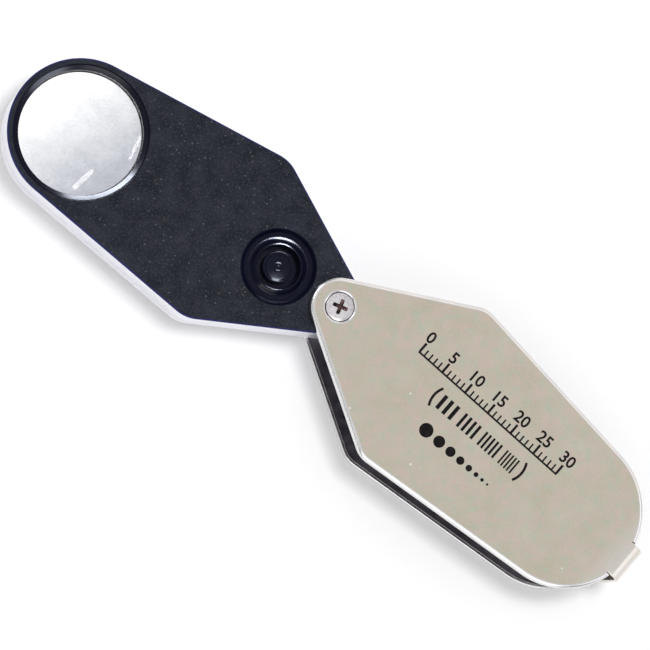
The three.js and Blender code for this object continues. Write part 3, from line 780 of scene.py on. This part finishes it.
def build_faceplate():
    edge_low = PLATE_TOP - 0.5
    corners = [
        (2.0, PLATE_TOP, 0), (0, PLATE_TOP, 0.36), (0, edge_low, 0.08),
        (SKIRT, edge_low, 0), (SKIRT, PLATE_BOTTOM, 0), (2.0, PLATE_BOTTOM, 0),
        (2.0, PLATE_TOP - 1.3, 0),
    ]
    profile = rounded(corners, steps=7)

    def slot_of(i):
        if i < 0:
            return 0
        heights = (profile[i][1], profile[i + 1][1])
        return 0 if min(heights) > PLATE_TOP - 1e-6 or max(heights) < edge_low else 1

    plate = shelled("faceplate", BODY_OUTLINE, profile, slot_of=slot_of)
    dress(plate, [FACEPLATE, EDGE_BLACK, GLOSS])
    corners = [
        (10.2, PLATE_BOTTOM + 0.1, 0), (10.2, PLATE_TOP - 0.80, 0.08),
        (10.3, PLATE_TOP - 0.74, 0.08), (10.95, PLATE_TOP - 0.3, 0.06),
        (11.1, PLATE_TOP - 0.01, 0.09), (11.2, PLATE_TOP - 0.01, 0),
    ]
    slope = rounded(corners)
    seat = [(u + 0.03, z - 0.04) for u, z in slope[:-1]] + [(11.2, PLATE_TOP + 1)]
    below = PLATE_BOTTOM - 1
    window = [(0, below), (10.23, below), *seat, (0, PLATE_TOP + 1)]
    corners = [
        (0, below, 0), (5.02, below, 0), (5.02, PLATE_TOP - 0.88, 0.01),
        (5.65, PLATE_TOP - 0.74, 0.9), (6.2, PLATE_TOP - 0.01, 0.12),
        (8.0, PLATE_TOP + 0.12, 0), (8.0, PLATE_TOP + 1, 0), (0, PLATE_TOP + 1, 0),
    ]
    dish = rounded(corners)
    carve(plate, lathe("window", window, LENS_X, segments=160), slot=1)
    carve(plate, lathe("dish", dish, BUTTON_X), slot=2)
    carve(plate, cylinder("bore", PIVOT_BORE, below, CUT_THROUGH), slot=1)
    finish(plate, "lens_unit", "satin_black", ["front_cover"])
    under = [(u + 0.025, z - 0.035) for u, z in reversed(slope)]
    lining = lathe("bezel_lining", slope + under, LENS_X, closed=True, segments=192)
    finish(lining, "lens_unit", "gloss_black", (), [BEZEL])


def build_band():
    low, high = BAND_LOW, BAND_HIGH
    profile = rounded([(0, low, 0.12), (0.8, low, 0), (0.8, high, 0), (0, high, 0.1)], True, 4)
    band = shelled("side_band", BODY_OUTLINE, profile, closed=True)
    finish(band, "lens_unit", "plated_silver", ["side_frame"], [PLATED])


def screw_places():
    """Name, place and head radius of the rear screws, with the battery door's screw last."""
    heads = {f"rear_screw_{i}": 1.5 for i in range(1, 5)}
    heads["door_screw"] = 1.25
    return [(name, local_mm(name), head) for name, head in heads.items()]


DOOR = {"start": 17.6, "end": 32.7, "half": 5.4}
LED_TILT = math.radians(18)
LED_BASE = (34.6, 7.2)


def along_lamp(thing):
    """Moves a form drawn up +Z from the lamp's base onto the lamp's slanted axis."""
    move = Matrix.Translation((LED_BASE[0] * MM, 0, LED_BASE[1] * MM))
    thing.data.transform(move @ Matrix.Rotation(math.pi - LED_TILT, 4, "Y"))
    return thing


def door_slab(name, gap, low, high, corner, edge):
    """The battery door's form, or with a gap round it, the opening for it."""
    half = DOOR["half"] + gap
    return rounded_bar(
        name, DOOR["start"] - gap, DOOR["end"] + gap, -half, half, low, high, corner, edge
    )


def screw_seat(spot, radius, shoulder, shank, neck):
    """A tool for a rear screw's hole: straight to the shoulder, then in to the shank by neck."""
    top = 4
    seat = [(0, 0), (radius, 0), (radius, shoulder), (shank, neck), (shank, top), (0, top)]
    return lathe("seat", seat, spot.x, spot.y, segments=64)


def build_rear():
    rim = BAND_LOW - 0.05
    floor_top = SHELL_BOTTOM + 0.9
    corners = [
        (2.2, SHELL_BOTTOM, 0), (0, SHELL_BOTTOM, 0.55), (0, rim, 0.12),
        (SKIRT, rim, 0), (SKIRT, rim + 0.8, 0), (1.5, rim + 0.8, 0),
        (1.5, floor_top, 0.2), (2.2, floor_top, 0),
    ]
    profile = rounded(corners, steps=6)
    shell = dress(shelled("rear_shell", BODY_OUTLINE, profile), [PLATED_REAR_PAINTED_LIGHT, DULL_BLACK])
    boss = cylinder("boss", 3.4, floor_top - 0.3, 11.65, segments=72)
    sleeve = cylinder("sleeve", 2.3, 1.1, 5.4, segments=48)
    carve(shell, boss, along_lamp(sleeve), operation="UNION")
    corners = [
        (0, -1, 0), (11.2, -1, 0), (11.2, SHELL_BOTTOM + 0.02, 0.05),
        (10.5, SHELL_BOTTOM + 0.25, 0.06), (10.0, SHELL_BOTTOM + 0.55, 0.06),
        (10.0, floor_top - 0.1, 0), (10.2, floor_top, 0), (11.35, floor_top, 0),
        (11.35, rim + 3, 0), (0, rim + 3, 0),
    ]
    window = rounded(corners, steps=3)
    groove = rectangle(11.62, 11.78, 1.0, SHELL_BOTTOM + 0.12)
    lamp_hole = [(0, -0.5), (1.7, -0.5), (1.7, 5.2), (2.3, 9), (0, 9)]
    tools = [
        lathe("window", window, LENS_X),
        lathe("groove", groove, LENS_X, closed=True),
        cylinder("bore", PIVOT_BORE, 0, CUT_THROUGH, segments=64),
        door_slab("opening", 0.15, 0, floor_top + 0.01, 0.7, 0),
        along_lamp(lathe("lamp_hole", lamp_hole, segments=64)),
    ]
    *rear_screws, door_screw = screw_places()
    for _, spot, head in rear_screws:
        tools.append(screw_seat(spot, head + 0.15, SHELL_BOTTOM + 0.25, 0.85, 2.8))
    carve(shell, *tools)
    finish(shell, "lens_unit", "plated_rear", ["rear_cover"])

    door = door_slab("battery_door_panel", 0, SHELL_BOTTOM, floor_top - 0.05, 0.6, 0.14)
    cuts = []
    for i in range(5):
        x = 27.4 + i * 0.9
        cuts.append(rounded_bar("grip", x, x + 0.42, -3.0, 3.0, 1.0, SHELL_BOTTOM + 0.16, 0.2, 0))
    _, spot, head = door_screw
    cuts.append(screw_seat(spot, head + 0.13, SHELL_BOTTOM + 0.22, 0.75, 2.6))
    carve(door, *cuts)
    finish(door, "lens_unit", "plated_rear", ["battery_door"], [PLATED_REAR_PAINTED_LIGHT])

    for i, (name, spot, head) in enumerate((*rear_screws, door_screw)):
        low, high = (corner.z for corner in box_mm(name))
        shank = 0.55 if name == "door_screw" else 0.7
        profile = [(0, low + 0.02), (head - 0.25, low), (head - 0.04, low + 0.06), (head, low + 0.15)]
        profile += [(shank, low + head - shank), (shank, high - shank), (0, high)]
        screw = lathe(f"{name}_cross", profile, spot.x, spot.y, segments=48)
        turn = 0.35 + 1.1 * i
        dress(screw, [CHROME, RECESS_SHADE])
        cross = cross_tool(spot.x, spot.y, low, head * 0.62, head * 0.17, 0.45, turn, -1)
        # The recess faces take slot 1, its painted shade.
        carve(screw, *cross, slot=1)
        finish(screw, "lens_unit", "screw_chrome", [name], angle=28)


# ---------- optics


LENS_RADIUS = 10.5
LENS_CURVE = 23.0  # radius of the curved face
LENS_EDGE = 1.0  # thickness of the lens at its rim


def lens_profile(flat, sign):
    """Plano-convex, with its flat face at z = flat and its curve on the side of sign."""
    points = [(0, flat), (LENS_RADIUS - 0.12, flat), (LENS_RADIUS, flat + sign * 0.12)]
    points.append((LENS_RADIUS, flat + sign * (LENS_EDGE - 0.02)))
    return points + curve_points(flat, sign, LENS_RADIUS - 0.02)


def curve_points(flat, sign, reach, lift=0.0):
    """The curved face as profile points, from the radius reach in to the axis."""
    centre = LENS_EDGE - math.sqrt(LENS_CURVE**2 - LENS_RADIUS**2)
    points = []
    steps = 24
    for i in range(steps + 1):
        r = reach * (1 - i / steps)
        points.append((r, flat + sign * (centre + lift + math.sqrt(LENS_CURVE**2 - r**2))))
    return points


def build_optics():
    for node, flat, sign in (("front_lens", LENS_FRONT, -1), ("rear_lens", LENS_REAR, 1)):
        glass = lathe(f"{node}_glass", lens_profile(flat, sign), LENS_X, segments=160)
        finish(glass, "lens_unit", "lens_glass", [node], [GLASS], angle=20)
    shine = curve_points(LENS_REAR, 1, 9.95, 0.03)
    glint = lathe("rear_lens_coat", shine, LENS_X, segments=160)
    finish(glint, "lens_unit", "lens_glass", (), [SHINE], angle=60)
    sheet = [(10.15 * (1 - i / 4), LENS_FRONT + 0.02) for i in range(5)]
    coat = lathe("front_lens_coat", sheet, LENS_X, segments=96)
    finish(coat, "lens_unit", "lens_glass", (), [COAT], angle=60)

    edges = (0.05, 0.1, 0.05, 0.05)
    barrel = turned_ring("barrel_sleeve", "lens_barrel", 10.6, 11.25, edges, LENS_X)
    finish(barrel, "lens_unit", "gloss_black", ["lens_barrel"], [GLOSS])
    lo, hi = box_mm("lens_spacer")
    grooves = [(LENS_RADIUS, lo.z), (LENS_RADIUS, hi.z)]
    count = 8
    step = (hi.z - lo.z) / count
    for i in range(count):
        z = hi.z - (hi.z - lo.z) * i / count
        grooves += [(10.0, z - 0.1 * step), (10.0, z - 0.45 * step), (10.25, z - 0.72 * step)]
    spacer = lathe("spacer_ring", grooves, LENS_X, closed=True)
    finish(spacer, "lens_unit", "gloss_black", ["lens_spacer"], [DULL_BLACK])
    edges = (0.08, 0.05, 0.05, 0.05)
    retainer = turned_ring("retainer_ring", "retaining_ring", 9.7, LENS_RADIUS, edges, LENS_X)
    low = box_mm("retaining_ring")[0].z
    x0, x1 = LENS_X - 0.5, LENS_X + 0.5
    for side in (-1, 1):
        carve(retainer, bar("notch", x0, x1, side * 9.4, side * 10.7, low - 1, low + 0.3))
    finish(retainer, "lens_unit", "gloss_black", ["retaining_ring"], [DULL_BLACK])


# ---------- button, lamp and inner parts


def build_button():
    low = box_mm("button_collar")[0].z
    shoulder = PLATE_BOTTOM - 0.05
    crest_radius, crest_height = 3.72, 0.8
    foot = PLATE_TOP - 0.1 - crest_height
    profile = [(3.48, low), (5.5, low), (5.5, shoulder), (5.0, shoulder)]
    steps = 12
    for k in range(steps):
        out = 1 - k / steps
        rise = crest_height / 2 * (1 + math.cos(math.pi * out**0.8))
        profile.append((crest_radius + 1.28 * out, foot + rise))
    for k in range(9, 19):
        a = math.pi * k / 18
        profile.append((crest_radius + 0.22 * math.cos(a), foot + crest_height * math.sin(a)))
    collar = lathe("collar_ring", profile, BUTTON_X, closed=True, segments=160)
    finish(collar, "lens_unit", "gloss_black", ["button_collar"], [GLOSS])

    corners = [
        (0, CAP_LOW, 0), (4.3, CAP_LOW, 0.05), (4.3, low - 0.1, 0.05), (2.6, low - 0.1, 0),
        (2.6, CAP_TOP - 0.005, 0.14), (2.32, CAP_TOP - 0.005, 0.1),
        (1.98, CAP_TOP - 0.2, 0.3), (0.85, CAP_TOP - 0.33, 0.1),
        (0.62, CAP_TOP - 0.27, 0.12), (0.45, CAP_TOP - 0.32, 0.1),
        (0.26, CAP_TOP - 0.31, 0.1), (0.16, CAP_TOP - 0.26, 0.08), (0, CAP_TOP - 0.26, 0),
    ]
    cap = lathe("push_cap", rounded(corners), BUTTON_X, segments=144)
    finish(cap, "button", "gloss_black", ["button_cap"], [GLOSS])

    lo, hi = box_mm("button_spring")
    tall = hi.z - lo.z
    turns, per_turn, sides = 3, 28, 8
    wire, coil = 0.2, 2.1
    rings = []
    for i in range(turns * per_turn + 1):
        a = TAU * i / per_turn
        z = lo.z + wire + (tall - 2 * wire) * i / (turns * per_turn)
        out = Vector((math.cos(a), math.sin(a), 0))
        centre = Vector((BUTTON_X, 0, z)) + out * coil
        ring = []
        for k in range(sides):
            b = TAU * k / sides
            ring.append(centre + out * wire * math.cos(b) + Vector((0, 0, wire * math.sin(b))))
        rings.append(ring)
    spring = loft("return_spring", rings)
    finish(spring, "button", "bright_steel", ["button_spring"], [STEEL])
    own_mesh(spring)


def build_lamp():
    radius, steps = 1.5, 12
    profile = [(0, 0), (1.85, 0), (1.9, 0.08), (1.9, 0.72), (1.83, 0.8), (radius, 0.8)]
    for k in range(steps + 1):
        a = math.pi / 2 * k / steps
        profile.append((radius * math.cos(a), 3.4 + radius * math.sin(a)))
    lamp = along_lamp(lathe("lamp_bulb", profile, segments=64))
    finish(lamp, "lens_unit", "lamp_resin", ["led"], [RESIN])
    cup = [(0, 0.6), (0.7, 0.6), (0.8, 1.9), (0.62, 1.9), (0.35, 1.55), (0, 1.55)]
    core = along_lamp(lathe("lamp_cup", cup, segments=40))
    finish(core, "lens_unit", "bright_steel", (), [STEEL])


def build_inner():
    """CAD parts that stay as they are, under the covers, with their finishes."""
    looks = (
        (NYLON, ("switch_plunger",)),
        (DULL_BLACK, ("switch_body", "resistor", "battery_holder")),
        (BOARD, ("circuit_board",)),
        (WIRE_BLACK, ("led_wire_1",)),
        (WIRE_RED, ("led_wire_2",)),
        (STEEL, ("button_cell_1", "button_cell_2", "button_cell_3")),
        (BRASS, ("positive_contact", "negative_contact")),
    )
    for material, nodes in looks:
        for node in nodes:
            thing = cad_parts[node]
            thing.data.materials.clear()
            dress(thing, [material])


# ---------- stage, light and camera


def toward(azimuth, elevation):
    """The direction of an azimuth and an elevation in degrees."""
    a, e = math.radians(azimuth), math.radians(elevation)
    return Vector((math.cos(a) * math.cos(e), math.sin(a) * math.cos(e), math.sin(e)))


def stand(thing, spot, axes):
    """Puts a lamp or camera at a spot, with its x, y and z along the axes given."""
    thing.matrix_world = Matrix.Translation(spot) @ Matrix(axes).transposed().to_4x4()


def area_light(name, size, power, colour):
    light = bpy.data.lights.new(name, "AREA")
    light.shape = "RECTANGLE"
    light.size, light.size_y = size
    light.energy = power
    light.color = colour
    return place(bpy.data.objects.new(name, light))


def light_only(thing, pieces):
    """Lets a lamp light only the pieces named."""
    lit = bpy.data.collections.new(thing.name)
    for piece in pieces:
        lit.objects.link(bpy.data.objects[piece])
    thing.light_linking.receiver_collection = lit


def softbox(name, azimuth, elevation, size, power, colour=(1, 1, 1), on=()):
    """A rectangular lamp a metre away that faces the object. With on, it shows only as a
    reflection, in the pieces named."""
    thing = area_light(name, size, power, colour)
    target = Vector((0, 0, 0.01))
    thing.location = target + toward(azimuth, elevation)
    thing.rotation_mode = "QUATERNION"
    thing.rotation_quaternion = (thing.location - target).to_track_quat("Z", "Y")
    thing.visible_diffuse = not on
    thing.visible_glossy = bool(on)
    if on:
        light_only(thing, on)
    return thing


# Long thin lamps seen in the front lens: both ends of each streak in millimetres from the lens
# centre, its width and the lamp's power.
TUBES = [
    ((5.50, -3.05), (5.01, -7.44), 0.78, 1.5e-3),
    ((7.60, 6.10), (8.70, 2.15), 0.46, 0.9e-3),
    ((-4.03, 4.85), (-3.41, 1.66), 0.50, 0.5e-3),
]
TUBE_DISTANCE = 0.9  # metres from the lens
TUBE_SPREAD = 2.3  # how much wider the lamp is than its streak, for its distance


def tube(name, start, end, width, power):
    """A lamp placed where the flat face of the front lens shows it as a streak."""
    eye = camera_place()
    spots = []
    for x, y in (start, end):
        mark = Vector((LENS_CENTRE.x + x, LENS_CENTRE.y + y, LENS_FRONT)) * MM
        ray = (mark - eye).normalized()
        spots.append(mark + Vector((ray.x, ray.y, -ray.z)) * TUBE_DISTANCE)
    middle = (spots[0] + spots[1]) / 2
    along = (spots[1] - spots[0]).normalized()
    size = ((spots[1] - spots[0]).length, width * MM * TUBE_SPREAD)
    thing = area_light(name, size, power, (1.0, 0.97, 0.80))
    lens = Vector((LENS_CENTRE.x, LENS_CENTRE.y, LENS_FRONT)) * MM
    back = (middle - lens).normalized()
    stand(thing, middle, (along, back.cross(along).normalized(), back))
    thing.visible_diffuse = False
    light_only(thing, ["front_lens_coat"])


def window_spot():
    """A narrow lamp straight above the lens, which lights the paper seen through it."""
    light = bpy.data.lights.new("window_spot", "SPOT")
    light.energy = 46.0
    light.spot_size = 2 * math.atan(LENS_RADIUS * MM)
    light.spot_blend = 0.25
    light.shadow_soft_size = 0.002
    thing = place(bpy.data.objects.new("window_spot", light))
    thing.location = (LENS_CENTRE.x * MM, LENS_CENTRE.y * MM, 1.0)
    thing.visible_glossy = False
    light_only(thing, ["floor"])


LOW_SKY, HIGH_SKY = 0.32, 0.75  # the sky's strength at the horizon and overhead
CASE_METAL = ("case_shell",)
METAL = ("case_shell", "pivot_screw_cross", "side_band", "rear_shell")
LINING = ("bezel_lining",)
BLACKS = ("bezel_lining", "collar_ring", "push_cap")
WHITE = (1, 1, 1)
# Name, azimuth, elevation, size in metres, power, colour, and the pieces it shows in.
SOFTBOXES = [
    ("left_wall", 226, 14, (0.7, 0.12), 0.5, WHITE, METAL),
    ("near_wall", 292, 32, (1.0, 1.05), 4.3, WHITE, METAL),
    ("far_wall", 176, 30, (0.6, 0.5), 2.2, WHITE, METAL),
    ("upper_wall", 86, 30, (1.6, 1.2), 3.0, (1.0, 0.93, 0.82), CASE_METAL),
    ("end_wall", 12, 28, (0.95, 0.95), 1.9, (0.97, 0.96, 1.0), CASE_METAL),
    ("window_low", 144, 23, (1.05, 0.26), 70.0, (0.82, 0.88, 1.0), LINING),
    ("window_high", 110, 44, (0.42, 0.8), 185.0, (0.78, 0.83, 1.0), ("collar_ring",)),
    ("window_cap", 110, 44, (0.42, 0.8), 50.0, (0.80, 0.87, 1.0), ("push_cap",)),
    ("right_wall", 352, 34, (0.6, 0.5), 12.0, (0.84, 0.9, 1.0), LINING),
    ("black_front", 290, 22, (0.8, 0.3), 4.0, WHITE, BLACKS),
]


def build_stage():
    wide, level = 3000, -0.1
    corners = [(x, y, level) for x, y in rectangle(-wide, wide, -wide, wide)]
    floor = make("floor", corners, [(0, 1, 2, 3)])
    floor.data.materials.append(floor_finish())

    world = bpy.data.worlds.new("studio")
    bpy.context.scene.world = world
    world.use_nodes = True
    tree = world.node_tree
    tree.nodes.clear()
    where = tree.nodes.new("ShaderNodeTexCoord")
    height = tree.nodes.new("ShaderNodeSeparateXYZ")
    spread = tree.nodes.new("ShaderNodeMapRange")
    spread.interpolation_type = "SMOOTHSTEP"
    ends = {"From Min": 0.1, "From Max": 1.0, "To Min": LOW_SKY, "To Max": HIGH_SKY}
    for key, value in ends.items():
        spread.inputs[key].default_value = value
    sky = tree.nodes.new("ShaderNodeBackground")
    sky.inputs["Color"].default_value = (0.985, 0.985, 1.0, 1)
    out = tree.nodes.new("ShaderNodeOutputWorld")
    tree.links.new(where.outputs["Generated"], height.inputs[0])
    tree.links.new(height.outputs["Z"], spread.inputs["Value"])
    tree.links.new(spread.outputs[0], sky.inputs["Strength"])
    tree.links.new(sky.outputs[0], out.inputs["Surface"])

    key = softbox("key", 84, 82, (0.2, 0.2), 5.0)
    key.visible_transmission = False
    for row in SOFTBOXES:
        softbox(*row)
    for k, (start, end, width, power) in enumerate(TUBES):
        tube(f"tube_{k + 1}", start, end, width, power)
    window_spot()


# Where the camera stands, in millimetres and degrees. Its upper edge points along "up".
CAMERA = {
    "target": (0.74, -2.67, 7.5),
    "azimuth": -118.4,
    "elevation": 79.56,
    "up": 131.05,
    "distance": 692.3,
    "lens": 234.1,
}


def camera_place():
    back = toward(CAMERA["azimuth"], CAMERA["elevation"])
    return (Vector(CAMERA["target"]) + back * CAMERA["distance"]) * MM


def build_camera():
    data = bpy.data.cameras.new("camera")
    data.lens = CAMERA["lens"]
    data.sensor_width = 36
    data.clip_start, data.clip_end = 0.01, 20
    thing = place(bpy.data.objects.new("camera", data))
    back = toward(CAMERA["azimuth"], CAMERA["elevation"])
    right = toward(CAMERA["up"], 0).cross(back).normalized()
    stand(thing, camera_place(), (right, back.cross(right), back))
    bpy.context.scene.camera = thing


build_case()
build_pivot()
build_print()
build_faceplate()
build_band()
build_rear()
build_optics()
build_button()
build_lamp()
build_inner()
build_stage()
build_camera()

bpy.context.scene.view_settings.view_transform = "Standard"
bpy.context.view_layer.update()
